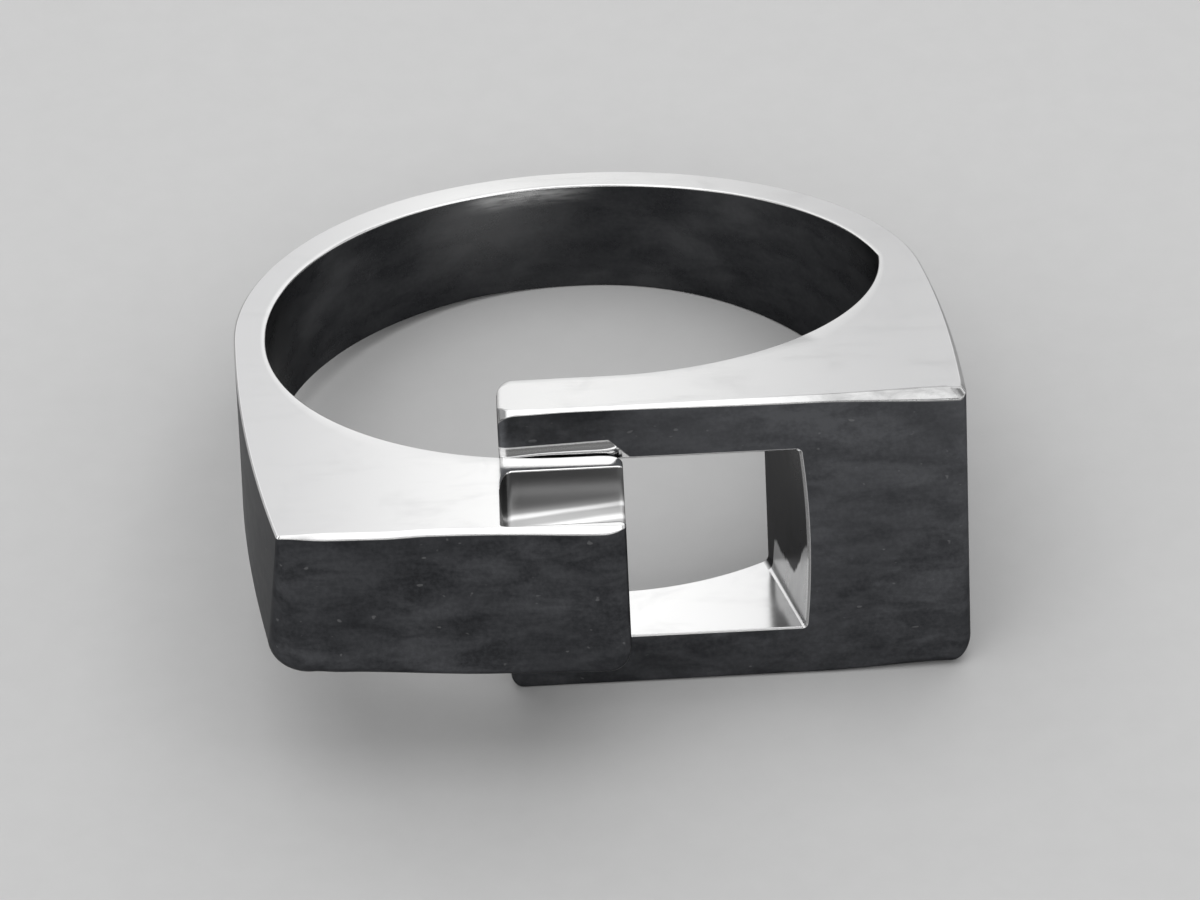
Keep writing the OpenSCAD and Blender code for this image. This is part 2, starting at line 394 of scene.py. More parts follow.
def pairs(outer):
    """Rows of: outer distance, inner distance, steps up to the next row, how the steps are spread, and the
    bevels there: outer top, inner top, outer bottom, inner bottom."""
    inner = inner_path()
    o, i = starts(outer), starts(inner)

    def both(x, outer_piece, inner_piece):
        """Outer and inner distance at one X."""
        return distance_at_x(outer, outer_piece, x), distance_at_x(inner, inner_piece, x)

    def on_back(angle):
        """Outer distance at an angle on the round back."""
        return distance_at_angle(outer, ROUND_BACK, OUTER_C, angle)

    def on_curve(angle):
        """Inner distance at an angle on the wide arm's curve."""
        return distance_at_angle(inner, HOLE_CURVE, CURVE_C, angle)

    def on_left(angle):
        """Inner distance at an angle on the left front arc."""
        return distance_at_angle(inner, HOLE_LEFT, LEFT_C, angle)

    window_right = distance_at_x(outer, WIDE_FACE, WINDOW_RIGHT + MARGIN)
    window_right_back = distance_at_x(inner, HOLE_CURVE, float(window_back(np.array(1.0))) + MARGIN)
    facet = distance_at_x(outer, NARROW_FACE, FACET_X)
    lip = NARROW_REACH - NARROW_ROLL
    return [
        # The wide arm: its end, the end of its roll, and the window's left and right side
        (o[0], i[0], 16, "from end", 0.34, 0.06, 0.06, 0.06),
        (*both(-WIDE_REACH + WIDE_ROLL, WIDE_FACE, HOLE_FLAT), 6, "even", 0.14, 0.04, 0.07, 0.05),
        (*both(WINDOW_LEFT - MARGIN, WIDE_FACE, HOLE_FLAT), 34, "even", 0.10, 0.03, 0.08, 0.05),
        (window_right, window_right_back, 16, "even", 0.17, 0.03, 0.12, 0.05),
        # The right corner begins and ends, and the flank runs to the round back
        (o[1], on_curve(-48), 10, "even", 0.31, 0.03, 0.30, 0.05),
        (o[2], on_curve(-46.6), 34, "even", 0.12, 0.03, 0.50, 0.05),
        # The round back, past the hole's blunt corner and the short flat behind the finger
        (on_back(RIGHT_TOUCH + 0.01), on_curve(-4), 3, "even", 0.04, 0.03, 0.10, 0.05),
        (on_back(12), i[2], 4, "even", 0.04, 0.03, 0.09, 0.05),
        (on_back(13.4), i[3], 56, "even", 0.04, 0.03, 0.09, 0.05),
        (on_back(90), i[4], 2, "even", 0.05, 0.05, 0.06, 0.05),
        (on_back(91.6), i[5], 62, "even", 0.05, 0.05, 0.06, 0.05),
        # The left flank, the left corner and the place where the front bevel has its full width
        (o[4], i[6], 2, "even", 0.05, 0.05, 0.10, 0.05),
        (o[4] + 0.2, i[7], 40, "even", 0.05, 0.05, 0.10, 0.05),
        (o[5], on_left(242.8), 14, "even", 0.05, 0.03, 0.46, 0.05),
        (o[6], on_left(244.4), 4, "even", 0.07, 0.03, 0.40, 0.05),
        (facet, on_left(247.0), 16, "even", 0.16, 0.03, 0.34, 0.05),
        # The narrow arm: before the trough, the trough's closed end, its full width, the roll and the end
        (*both(TROUGH_END - MARGIN, NARROW_FACE, HOLE_LEFT), 8, "to end", 0.155, 0.03, 0.12, 0.05),
        (*both(TROUGH_END, NARROW_FACE, HOLE_LEFT), 18, "trough", 0.155, 0.03, 0.12, 0.05),
        (*both(TROUGH_END + TROUGH_SOFT, NARROW_FACE, HOLE_LEFT), 10, "even", 0.16, 0.03, 0.12, 0.05),
        (*both(lip, NARROW_FACE, HOLE_END), 18, "to end", 0.19, 0.05, 0.12, 0.05),
        (o[7], i[9], 0, "even", 0.04, 0.16, 0.12, 0.05),
    ]


# Numbers of the rows that later steps ask for
WINDOW_ROW, PAST_WINDOW_ROW, CORNER_ROW, FLANK_ROW, LEFT_ROW = 2, 3, 4, 5, 10
FRONT_ROW, UPRIGHT_ROW, TROUGH_ROW, FULL_TROUGH_ROW = 14, 16, 17, 18

# %% Walk the stations
TROUGH_LEAN = 0.1
TROUGH_POWER = 4.5


def smooth_step(value):
    """0 below 0, 1 above 1, and 3 v^2 - 2 v^3 in between."""
    value = np.clip(value, 0, 1)
    return value * value * (3 - 2 * value)


def left_over(depth):
    """What a superellipse leaves at this depth: (1 - depth^p)^(1/p)."""
    return (1 - depth**TROUGH_POWER) ** (1 / TROUGH_POWER)


def spread(way, steps):
    """Shares from 0 to 1 for one stretch, without the last.

    Toward an end they follow a quarter circle. In the trough's closed end they follow a superellipse:
    the depth's share is the sine of even angles, and x is what the superellipse leaves."""
    share = np.arange(steps) / max(steps, 1)
    if way == "from end":
        return 1 - np.cos(share * math.pi / 2)
    if way == "to end":
        return np.sin(share * math.pi / 2)
    if way == "trough":
        depth = np.sin(share * math.pi / 2)
        return (1 - TROUGH_LEAN) * (1 - left_over(depth)) + TROUGH_LEAN * depth
    return share


def walk(corners):
    """All stations: outer and inner points with their outward directions, bevels, and each row's index.

    From UPRIGHT_ROW on, the inner point has the X of the outer one, so the sections stand square to X."""
    outer, inner = outer_path(*corners), inner_path()
    rows = pairs(outer)
    at, deep, index = [], [], []
    for row, following in zip(rows[:-1], rows[1:]):
        share = spread(row[3], row[2])[:, None]
        index.append(sum(len(part) for part in at))
        at.append((1 - share) * np.array(row[:2]) + share * np.array(following[:2]))
        smooth = smooth_step(np.arange(row[2]) / row[2])[:, None]
        deep.append((1 - smooth) * np.array(row[4:]) + smooth * np.array(following[4:]))
    at, deep = np.concatenate(at + [[rows[-1][:2]]]), np.concatenate(deep + [[rows[-1][4:]]])
    index.append(len(at) - 1)
    outer_points, outer_away = along_path(outer, at[:, 0])
    first = index[UPRIGHT_ROW]
    x = np.clip(outer_points[first:, 0], -LEFT_R, NARROW_REACH)
    bend = LEFT_R * (math.pi / 2 - np.arcsin(np.minimum((LEFT_C[0] - x) / LEFT_R, 1)))
    ends = starts(inner)
    on_arc, on_end = ends[HOLE_LEFT] + bend, ends[HOLE_END] + x - LEFT_C[0]
    at[first:, 1] = np.where(x < LEFT_C[0], on_arc, on_end)
    inner_points, inner_away = along_path(inner, at[:, 1])
    return {"outer": outer_points, "outer_away": outer_away, "inner": inner_points,
            "inner_away": inner_away, "bevels": deep, "index": index, "along": at}


band = walk(LOW_CORNERS)
sharp = walk(TOP_CORNERS)
print("stations:", len(band["outer"]), "the arms' parts begin at", band["index"])

# %% [markdown]
# The side faces are planes. Right of the back the ring is a wedge, as tall as the wide arm in front. Left of
# the back both planes rise toward the front, because the narrow arm passes high in front of the wide arm. At
# the back the two meet in one shared plane, and the change of slope is softened so that no crease shows.

# %% Heights of the upper and lower faces
SOFT_FOLD = 0.8
NARROW_LOW = 0.0224
BLEND_STATIONS = 14


def folded(y, front_slope, back_slope):
    """Height above the middle of a face that changes slope at the hole's back.

    A hyperbola joins the two slopes: half their sum times the distance plus half their difference times
    the root of the distance squared and the fold's softness squared."""
    ahead = HOLE_R - y
    bend = np.sqrt(ahead**2 + SOFT_FOLD**2)
    return BACK_H / 2 + (front_slope + back_slope) / 2 * ahead + (front_slope - back_slope) / 2 * bend


def left_share(count):
    """0 on the right half of the band, 1 on the left half, with a smooth change over a few stations."""
    return smooth_step((np.arange(count) - band["index"][LEFT_ROW]) / BLEND_STATIONS)


def face_height(points, share, lower=False):
    """Height of the upper or lower face over plan points of each station."""
    y = points[..., 1]
    share = share.reshape(share.shape + (1,) * (y.ndim - 1))
    right_half = BACK_H / 2 + (HOLE_R - y) * WIDE_SLOPE
    left_half = folded(y, -NARROW_LOW if lower else NARROW_UP, WIDE_SLOPE)
    height = (1 - share) * right_half + share * left_half
    return -height if lower else height


LEFT = left_share(len(band["outer"]))

# %% [markdown]
# An edge of a casting is first filed to a flat bevel and then loses its two crests in polishing. So the
# edge's profile is an arc, a flat and another arc. With small arcs it is a crisp bevel, and with arcs as
# large as they can be it is a round edge. A bevel filed by hand changes its width along the edge, so every
# station has bevel sizes of its own.

# %% The edge's profile
ARC_STEPS = 4


def edge_profile(roundness):
    """Points of an edge, as distances in from the wall and down from the face, in bevel sizes.

    Each arc touches the wall or the face and the bevel's line: it starts roundness * tan(22.5 degrees)
    before the bevel's corner and turns by 45 degrees."""
    run = 1 + roundness * math.tan(math.pi / 8)
    first = np.radians(np.linspace(180, 225, ARC_STEPS + 1))
    second = np.radians(np.linspace(225, 270, ARC_STEPS + 1))
    inward = np.concatenate([roundness * (1 + np.cos(first)), run + roundness * np.cos(second)])
    down = np.concatenate([run + roundness * np.sin(first), roundness * (1 + np.sin(second))])
    return inward, down


CRISP, ROUND = 0.45, 1.6
EDGE = 2 * ARC_STEPS + 1

# %% [markdown]
# At an arm's end all four sides draw in a little, because the buffing wheel rolls over the end. A rounding
# tool would give every edge one radius. Here each side has its own length and depth, as in the photograph.

# %% Rolled ends
WIDE_ENDS = {"outer": (0.4, 0.12), "inner": (0.5, 1.0), "top": (0.2, 0.08), "bottom": (0.36, 0.4)}
NARROW_ENDS = {"outer": (0.55, 0.34), "inner": (0.4, 0.3), "top": (0.2, 0.08), "bottom": (0.75, 0.7)}


def rolled(distance, length, depth):
    """How far a face draws in at this distance from an arm's end.

    It follows a quarter ellipse: depth * (1 - sqrt(1 - near^2)), and near goes from 1 at the end to 0."""
    near = np.clip(1 - distance / length, 0, 1)
    return depth * (1 - np.sqrt(1 - near**2))


def draw_in(side):
    """How far one side of the section draws in at every station, for both arms' ends."""
    x = band["outer"][:, 0]
    on_wide = np.arange(len(x)) < band["index"][CORNER_ROW]
    on_narrow = np.arange(len(x)) > band["index"][FRONT_ROW]
    wide = np.where(on_wide, rolled(x + WIDE_REACH, *WIDE_ENDS[side]), 0)
    return wide + np.where(on_narrow, rolled(NARROW_REACH - x, *NARROW_ENDS[side]), 0)


print("the narrow arm's lower edge draws in by", round(float(draw_in("bottom")[-1]), 2), "mm at its end")

# %% [markdown]
# The trough is a round channel in the upper face. In the section it is part of the top row of points: a strip
# of face, a small rim, a half circle, another rim and another strip. Before the trough the same points lie
# flat on the face. In its closed end the half circle grows from nothing to its full size.

# %% Columns of the top row
STRIP, RIM, ARC = 4, 2, 36
RIM_SIZE = 0.05
RIM_MIDDLE = 0.29
FACE = 2 * STRIP + 2 * RIM + ARC
END_BACK, END_FRONT = 0.35, 0.93


def column(numbers):
    """One number per station, ready to be combined with a row of points."""
    return numbers[:, None]


def trough_row(near, far, back_share, front_share, depth, drop, radius):
    """Points across the face, as distance from the trough's axis along the face and height over it.

    near and far are where the face begins and ends, drop is how far the face is drawn in, and the arc is
    radius times minus cosine and minus sine of angles from the front rim to the back rim, the first
    scaled by the two width shares and the second by the depth. A rim has one point in its middle, which
    lies 1 - cos(45 degrees), or RIM_MIDDLE, of the way from the arc's end."""
    begin = np.arcsin(np.minimum((drop + RIM_SIZE) / radius, 1))
    share = np.linspace(0, 1, ARC + 1)
    angle = column(begin) + share * column(math.pi - 2 * begin)
    lean = (1 + np.cos(angle)) / 2
    width = lean * column(front_share) + (1 - lean) * column(back_share)
    across = -column(radius) * width * np.cos(angle)
    height = -column(radius) * column(depth) * np.sin(angle)
    edge_front, edge_back = across[:, 0] - RIM_SIZE, across[:, -1] + RIM_SIZE
    even = np.linspace(0, 1, STRIP + 1)
    front = column(near) + column(edge_front - near) * even
    back = column(edge_back) + column(far - edge_back) * even
    flat = -column(drop)
    mid = RIM_MIDDLE * RIM_SIZE
    rim_front = (across[:, :1] - mid, flat + (height[:, :1] - flat) * RIM_MIDDLE)
    rim_back = (across[:, -1:] + mid, flat + (height[:, -1:] - flat) * RIM_MIDDLE)
    return (
        np.concatenate([front, rim_front[0], across, rim_back[0], back], 1),
        np.concatenate([flat + 0 * front, rim_front[1], height, rim_back[1], flat + 0 * back], 1),
    )


def face_row(first, last, drop):
    """The face's points at every station, from the outer bevel to the inner one.

    On the narrow arm's end they follow the trough, whose closed end widens as a quarter circle does: the
    width's share is sqrt(1 - left^2). Everywhere else they keep the shares of the trough's first row."""
    start = band["index"][TROUGH_ROW]
    x = band["outer"][start:, 0]
    share = np.clip(np.arange(len(x)) / (band["index"][FULL_TROUGH_ROW] - start), 0, 1)
    depth = np.sin(share * math.pi / 2)
    widen = np.sqrt(1 - left_over(depth) ** 2)
    back_share = END_BACK + (1 - END_BACK) * widen
    front_share = END_FRONT + (1 - END_FRONT) * widen
    tilt = math.atan(NARROW_UP)
    near = (first[start:, 1] + TROUGH_Y) / math.cos(tilt)
    far = (last[start:, 1] + TROUGH_Y) / math.cos(tilt)
    drawn = drop[start:]
    across, height = trough_row(near, far, back_share, front_share, depth, drawn, TROUGH_R + drawn)
    axis = float(face_height(np.array([[[0, -TROUGH_Y]]]), np.array([1.0]))[0, 0])
    scooped = np.stack(
        [
            np.broadcast_to(column(x), across.shape),
            -TROUGH_Y + across * math.cos(tilt) + height * math.sin(tilt),
            axis - across * math.sin(tilt) + height * math.cos(tilt),
        ],
        -1,
    )
    shares = (across[0] - near[0]) / (far[0] - near[0])
    flat = first[:, None, :] + shares[None, :, None] * (last - first)[:, None, :]
    row = np.concatenate([flat, (face_height(flat, LEFT) - column(drop))[..., None]], -1)
    row[start + 1 :, 1:-1] = scooped[1:, 1:-1]
    return row


# %% [markdown]
# A section now has four sides: a face above and below with a bevel at each end, and two walls between them.
# The four could be four separate sheets, but then every edge would be a seam. As one loop of points they give
# a closed skin. Two rows of the walls keep the window's height all along the wide arm, so that the window can
# be cut out along them later.

# %% Build every section
LOW_ROWS, WINDOW_ROWS = 5, 20
WALL_ROWS = 2 * LOW_ROWS + WINDOW_ROWS
WINDOW_ROW_H = WINDOW_H / 2 + MARGIN
LOW_WALL = 0.88
WAVE = 0.12
WAVE_BEGINS, WAVE_RISES = -5.8, 1.4
WAVE_ENDS, WAVE_FALLS = -3.5, 4.5


def front_wave():
    """The filed front edge of the narrow arm isn't straight: it steps back beside the trough.

    One smooth step brings it back by WAVE, and a longer one lets it come forward again."""
    x = band["outer"][:, 0]
    on_front = np.arange(len(x)) > band["index"][FRONT_ROW]
    back = smooth_step((x - WAVE_BEGINS) / WAVE_RISES)
    return on_front * WAVE * back * (1 - smooth_step((x - WAVE_ENDS) / WAVE_FALLS))


def oblique(away, across):
    """How much longer a bevel gets when the section crosses the edge at an angle: one over the cosine."""
    return 1 / np.abs(np.sum(away * across, -1))


def edge_row(corner, across, stretch, size, roundness, share, lower, drop):
    """An edge's points at every station, from the wall to the face.

    A point is the corner plus the profile's inward number times the bevel's size along the section, and
    its height is the face's height there less the profile's downward number times the size."""
    inward, down = edge_profile(roundness)
    run = column(size * stretch) * inward
    flat = corner[:, None, :] + across[:, None, :] * run[..., None]
    sign = -1 if lower else 1
    height = face_height(flat, share, lower) - sign * (column(drop) + column(size) * down)
    return np.concatenate([flat, height[..., None]], -1)


def sections():
    """Top row, bottom row, outer and inner wall of every section, as arrays of points."""
    rows = {}
    top_drop, low_drop = draw_in("top"), draw_in("bottom")
    for name, walked, drop, lower in (("top", sharp, top_drop, False), ("bottom", band, low_drop, True)):
        across = walked["inner"] - walked["outer"]
        across /= column(np.linalg.norm(across, axis=1))
        outer = walked["outer"] + across * column(draw_in("outer") + (not lower) * front_wave())
        inner = walked["inner"] - across * column(draw_in("inner"))
        size = walked["bevels"][:, 2:] if lower else walked["bevels"][:, :2]
        outer_stretch = oblique(walked["outer_away"], across)
        inner_stretch = oblique(walked["inner_away"], across)
        roundness = ROUND if lower else CRISP
        out_edge = edge_row(outer, across, outer_stretch, size[:, 0], roundness, LEFT, lower, drop)
        in_edge = edge_row(inner, -across, inner_stretch, size[:, 1], ROUND, LEFT, lower, drop)[:, ::-1]
        if lower:
            share = np.linspace(0, 1, FACE + 1)[None, :, None]
            flat = out_edge[:, -1:, :2] + share * (in_edge[:, :1, :2] - out_edge[:, -1:, :2])
            height = face_height(flat, LEFT, True) + column(drop)
            face = np.concatenate([flat, height[..., None]], -1)
        else:
            face = face_row(out_edge[:, -1, :2], in_edge[:, 0, :2], drop)
        rows[name] = np.concatenate([out_edge, face[:, 1:-1], in_edge], 1)
    rows["outer"] = wall_rows(rows["bottom"][:, 0], rows["top"][:, 0])
    rows["inner"] = wall_rows(rows["bottom"][:, -1], rows["top"][:, -1])
    return rows


def wall_rows(low, high):
    """A wall's points between its lower and upper edge, in three even stretches.

    The middle stretch is as tall as the window with its margins, or LOW_WALL of a lower wall's height."""
    middle = (low[:, 2] + high[:, 2]) / 2
    half = (high[:, 2] - low[:, 2]) / 2
    reach = np.minimum(WINDOW_ROW_H, LOW_WALL * half)
    centre = np.where(reach < WINDOW_ROW_H, middle, 0)
    lower = np.linspace(0, 1, LOW_ROWS + 1)[None, :-1]
    inside = np.linspace(0, 1, WINDOW_ROWS + 1)[None, :-1]
    upper = np.linspace(0, 1, LOW_ROWS + 1)[None, :]
    floor, ceiling = column(centre - reach), column(centre + reach)
    z = np.concatenate(
        [
            low[:, 2:] + (floor - low[:, 2:]) * lower,
            floor + (ceiling - floor) * inside,
            ceiling + (high[:, 2:] - ceiling) * upper,
        ],
        1,
    )
    share = (z - low[:, 2:]) / (high[:, 2:] - low[:, 2:])
    flat = low[:, None, :2] + share[..., None] * (high - low)[:, None, :2]
    return np.concatenate([flat, z[..., None]], -1)


rows = sections()
COLUMNS = rows["top"].shape[1] - 1
LOOP = 2 * (WALL_ROWS + COLUMNS)
print("points in a section:", LOOP, "in all sections:", LOOP * len(band["outer"]))

# %% [markdown]
# The window is a tube through the wide arm. A Boolean cut would leave long thin faces round it. Instead the
# cells of the two walls that lie in front of the tube are left out, and the square outline of that gap is
# joined to the tube's rounded one, point by point. Each rim of the tube gets an edge profile of its own.

# %% The window's rounded outline
CORNER_STEPS = 3
WINDOW_R_FRONT, WINDOW_R_BACK = 0.12, 0.2
WINDOW_LOW, WINDOW_HIGH = -WINDOW_H / 2, 3.0
WINDOW_BULGE = 0.16
LIP_FRONT, LIP_TOP, LIP_BACK = 0.05, 0.04, 0.05
TUBE_STEPS = 8


def window_outline(radius, across, up):
    """Points of a rounded rectangle of size 1 by 1 in shares, and the direction outward at each.

    It starts in the middle of the lower left corner and goes round through the lower right one. across and
    up are the numbers of steps along a side. A corner is part of a circle, and the result is divided by
    the true size."""
    size = np.array([WINDOW_W, WINDOW_HIGH - WINDOW_LOW])
    signs = np.array([[-1, -1], [1, -1], [1, 1], [-1, 1]], float)
    points, away = [], []
    for turn in range(4):
        steps = (across if turn % 2 == 0 else up) - 2 * CORNER_STEPS
        begin = math.radians(225 + 90 * turn)
        centre = signs[turn] * (size / 2 - radius)
        following = signs[(turn + 1) % 4] * (size / 2 - radius)
        angle = begin + np.radians(np.linspace(0, 45, CORNER_STEPS + 1))
        spoke = np.stack([np.cos(angle), np.sin(angle)], -1)
        last = begin + np.radians(np.linspace(45, 90, CORNER_STEPS + 1))[:-1]
        spoke_last = np.stack([np.cos(last), np.sin(last)], -1)
        share = np.linspace(0, 1, steps + 1)[1:-1, None]
        side = centre + radius * spoke[-1] + share * (following - centre)
        points += [centre + radius * spoke, side, following + radius * spoke_last]
        away += [spoke, np.broadcast_to(spoke[-1], side.shape), spoke_last]
    return np.concatenate(points) / size + 0.5, np.concatenate(away)


def window_loops(across, up):
    """The window's tube as loops of points, from the wide arm's front face to the hole's wall.

    A loop's point is the plain rim's point, moved outward and into the metal as the edge profile says. The
    right edge bulges by x^4 times the parabola 1 - (2 z - 1)^2, with x and z as shares of the window."""
    outline, away = window_outline(WINDOW_R_FRONT, across, up)
    back_outline, back_away = window_outline(WINDOW_R_BACK, across, up)
    inward, down = edge_profile(CRISP)
    z = WINDOW_LOW + outline[:, 1] * (WINDOW_HIGH - WINDOW_LOW)
    bulge = WINDOW_BULGE * outline[:, 0] ** 4 * (1 - (2 * outline[:, 1] - 1) ** 2)
    lip = LIP_FRONT + LIP_TOP * np.clip(away[:, 1], 0, 1)
    loops, end = [], []
    for depth, grow in zip(inward[:, None] * lip, down[:, None] * lip):
        x = WINDOW_LEFT + outline[:, 0] * (WINDOW_W - depth * LEAN) + bulge
        loops.append(np.stack([x + away[:, 0] * grow, depth - WIDE_FRONT, z + away[:, 1] * grow], -1))
    for depth, grow in zip(inward[::-1] * LIP_BACK, down[::-1] * LIP_BACK):
        x = window_back(back_outline[:, 0]) + back_away[:, 0] * grow
        back_z = WINDOW_LOW + back_outline[:, 1] * (WINDOW_HIGH - WINDOW_LOW) + back_away[:, 1] * grow
        end.append(np.stack([x, -inner_depth(x) - depth, back_z], -1))
    share = np.linspace(0, 1, TUBE_STEPS + 1)[1:-1, None]
    tube = [loops[-1] + part * (end[0] - loops[-1]) for part in share]
    return loops + tube + end


def inner_depth(x):
    """Distance in front of the hole's centre at which the wide arm's inner wall lies."""
    return -inner_front(x)


# %% [markdown]
# Now the parts become one surface. The sections, the tube and the two flat ends share the points along their
# borders, so no seam has to be merged afterwards. Each point also carries marks, which tell the finish where
# on the ring it is: on a wall, on an edge, in the trough or in the window.

# %% Join everything into one closed surface
def loop_index(wall, row):
    """Number within a section's loop of a point of the outer or the inner wall."""
    return row if wall == "outer" else 2 * WALL_ROWS + COLUMNS - row


def section_points():
    """Every section's closed loop: up the outer wall, over the top, down the inner wall, back below."""
    return np.concatenate(
        [rows["outer"], rows["top"][:, 1:], rows["inner"][:, -2::-1], rows["bottom"][:, -2:0:-1]], 1
    )


def cap(station, first_number):
    """The flat end of an arm: a grid between the loop's four sides.

    An inner point is the mean across plus the mean up minus the mean of the four corners (a Coons patch)."""
    left, right_side = rows["outer"][station], rows["inner"][station]
    low, high = rows["bottom"][station], rows["top"][station]
    u = np.linspace(0, 1, COLUMNS + 1)[None, :, None]
    v = np.linspace(0, 1, WALL_ROWS + 1)[:, None, None]
    corners = (1 - u) * (1 - v) * low[0] + u * (1 - v) * low[-1] + (1 - u) * v * high[0] + u * v * high[-1]
    grid = (1 - u) * left[:, None] + u * right_side[:, None] + (1 - v) * low + v * high - corners
    number = np.zeros((WALL_ROWS + 1, COLUMNS + 1), int)
    inside = (WALL_ROWS - 1) * (COLUMNS - 1)
    number[1:-1, 1:-1] = first_number + np.arange(inside).reshape(WALL_ROWS - 1, COLUMNS - 1)
    k, m = np.arange(WALL_ROWS + 1), np.arange(COLUMNS + 1)
    number[:, 0], number[-1] = k, WALL_ROWS + m
    number[:, -1] = 2 * WALL_ROWS + COLUMNS - k
    number[0] = (2 * WALL_ROWS + 2 * COLUMNS - m) % LOOP
    edge = np.ones_like(number, bool)
    edge[1:-1, 1:-1] = False
    number[edge] += station * LOOP
    return grid[1:-1, 1:-1].reshape(-1, 3), number


MARKS = ("satin", "inside", "edge")
MARK_COLUMNS = 11
ON_SATIN, ON_INSIDE, ON_EDGE, ALONG, HEIGHT, AT_X, ARC_SHARE, IN_ARC, TO_RIGHT, UP, BACK = range(MARK_COLUMNS)


def section_marks():
    """What the finish needs to know at each section point.

    The masks are satin wall, inside wall and edge. Then come distance along the nearer outline, height and X
    in millimetres, and in the trough the share of its arc from front to back and a 1."""
    count = len(band["outer"])
    marks = np.zeros((count, LOOP, MARK_COLUMNS))
    low = 2 * WALL_ROWS + COLUMNS
    inner_wall = slice(WALL_ROWS + COLUMNS, low + EDGE + 1)
    marks[:, : WALL_ROWS + 1, ON_SATIN] = 1
    marks[:, inner_wall, ON_SATIN] = 1
    marks[:, LOOP - EDGE :, ON_SATIN] = 1
    marks[:, inner_wall, ON_INSIDE] = 1
    for first, last in ((WALL_ROWS, WALL_ROWS + EDGE), (WALL_ROWS + COLUMNS - EDGE, WALL_ROWS + COLUMNS)):
        marks[:, first : last + 1, ON_EDGE] = 1
    points = section_points()
    marks[:, :, ALONG] = band["along"][:, :1]
    marks[:, inner_wall, ALONG] = band["along"][:, 1:]
    marks[:, :, HEIGHT] = points[..., 2]
    marks[:, :, AT_X] = points[..., 0]
    arc = WALL_ROWS + EDGE + STRIP + RIM
    start = band["index"][TROUGH_ROW]
    marks[start:, arc : arc + ARC + 1, ARC_SHARE] = np.linspace(0, 1, ARC + 1)
    marks[start:, arc : arc + ARC + 1, IN_ARC] = 1
    return marks


def tube_marks(tube, across, up):
    """The same for the window's tube. Its two rims belong to the walls. In between, the last three columns
    hold the shares from left to right, from the floor up and from front to back."""
    marks = np.zeros(tube.shape[:2] + (MARK_COLUMNS,))
    marks[[0, -1], :, ON_SATIN] = 1
    marks[-1, :, ON_INSIDE] = 1
    marks[..., HEIGHT] = tube[..., 2]
    marks[..., AT_X] = tube[..., 0]
    marks[..., ALONG] = tube[..., 0] + WIDE_REACH
    past = band["index"][FLANK_ROW]
    marks[-1, :, ALONG] = np.interp(tube[-1, :, 0], band["inner"][:past, 0], band["along"][:past, 1])
    outline, _ = window_outline(WINDOW_R_FRONT, across, up)
    deep = tube[:, :, 1] - tube[:1, :, 1]
    marks[1:-1, :, TO_RIGHT : UP + 1] = outline
    marks[1:-1, :, BACK] = (deep / deep[-1:])[1:-1]
    return marks.reshape(-1, MARK_COLUMNS)


def quads(number):
    """The four-cornered faces of a grid of point numbers."""
    return np.stack([number[:-1, :-1], number[1:, :-1], number[1:, 1:], number[:-1, 1:]], -1).reshape(-1, 4)


def build_surface():
    """Points, marks and faces of the whole ring. Points that no face uses are left out."""
    points = section_points()
    count = len(points)
    number = np.arange(count * LOOP).reshape(count, LOOP)
    number = np.concatenate([number, number[:, :1]], 1)
    keep = np.ones((count - 1, LOOP), bool)
    first, last = band["index"][WINDOW_ROW], band["index"][PAST_WINDOW_ROW]
    low, high = LOW_ROWS, LOW_ROWS + WINDOW_ROWS
    rims = {}
    for wall in ("outer", "inner"):
        cells = sorted((loop_index(wall, low), loop_index(wall, high)))
        keep[first:last, cells[0] : cells[1]] = False
        k, i = np.arange(low, high), np.arange(first, last)
        rims[wall] = np.concatenate(
            [
                i * LOOP + loop_index(wall, low),
                last * LOOP + loop_index(wall, k),
                i[::-1] * LOOP + LOOP + loop_index(wall, high),
                first * LOOP + loop_index(wall, k[::-1] + 1),
            ]
        )
    faces = [quads(number)[keep.ravel()]]
    tube = np.array(window_loops(last - first, high - low))
    tube_number = count * LOOP + np.arange(tube.shape[0] * tube.shape[1]).reshape(tube.shape[:2])
    tube_number = np.concatenate([rims["outer"][None], tube_number, rims["inner"][None]])
    faces.append(quads(np.concatenate([tube_number, tube_number[:, :1]], 1)))
    everything = [points.reshape(-1, 3), tube.reshape(-1, 3)]
    marks = [section_marks().reshape(-1, MARK_COLUMNS), tube_marks(tube, last - first, high - low)]
    for station in (0, count - 1):
        more, cap_number = cap(station, sum(len(part) for part in everything))
        everything.append(more)
        cap_marks = np.zeros((len(more), MARK_COLUMNS))
        cap_marks[:, AT_X] = more[:, 0]
        marks.append(cap_marks)
        faces.append(quads(cap_number))
    everything, marks, faces = np.concatenate(everything), np.concatenate(marks), np.concatenate(faces)
    used, faces = np.unique(faces, return_inverse=True)
    return everything[used], marks[used], faces.reshape(-1, 4)


ring_points, ring_marks, ring_faces = build_surface()
print("points:", len(ring_points), "faces:", len(ring_faces))

# %% [markdown]
# The mesh is smooth, but a big flat face must not pick up the lean of the narrow bevel beside it. A modifier
# for weighted normals could see to that. Working the normals out here keeps the whole shape in one place.

# %% Make the mesh
def face_normals(points, faces):
    """Each face's normal times twice its area: the cross product of its diagonals."""
    corner = points[faces]
    return np.cross(corner[:, 2] - corner[:, 0], corner[:, 3] - corner[:, 1])


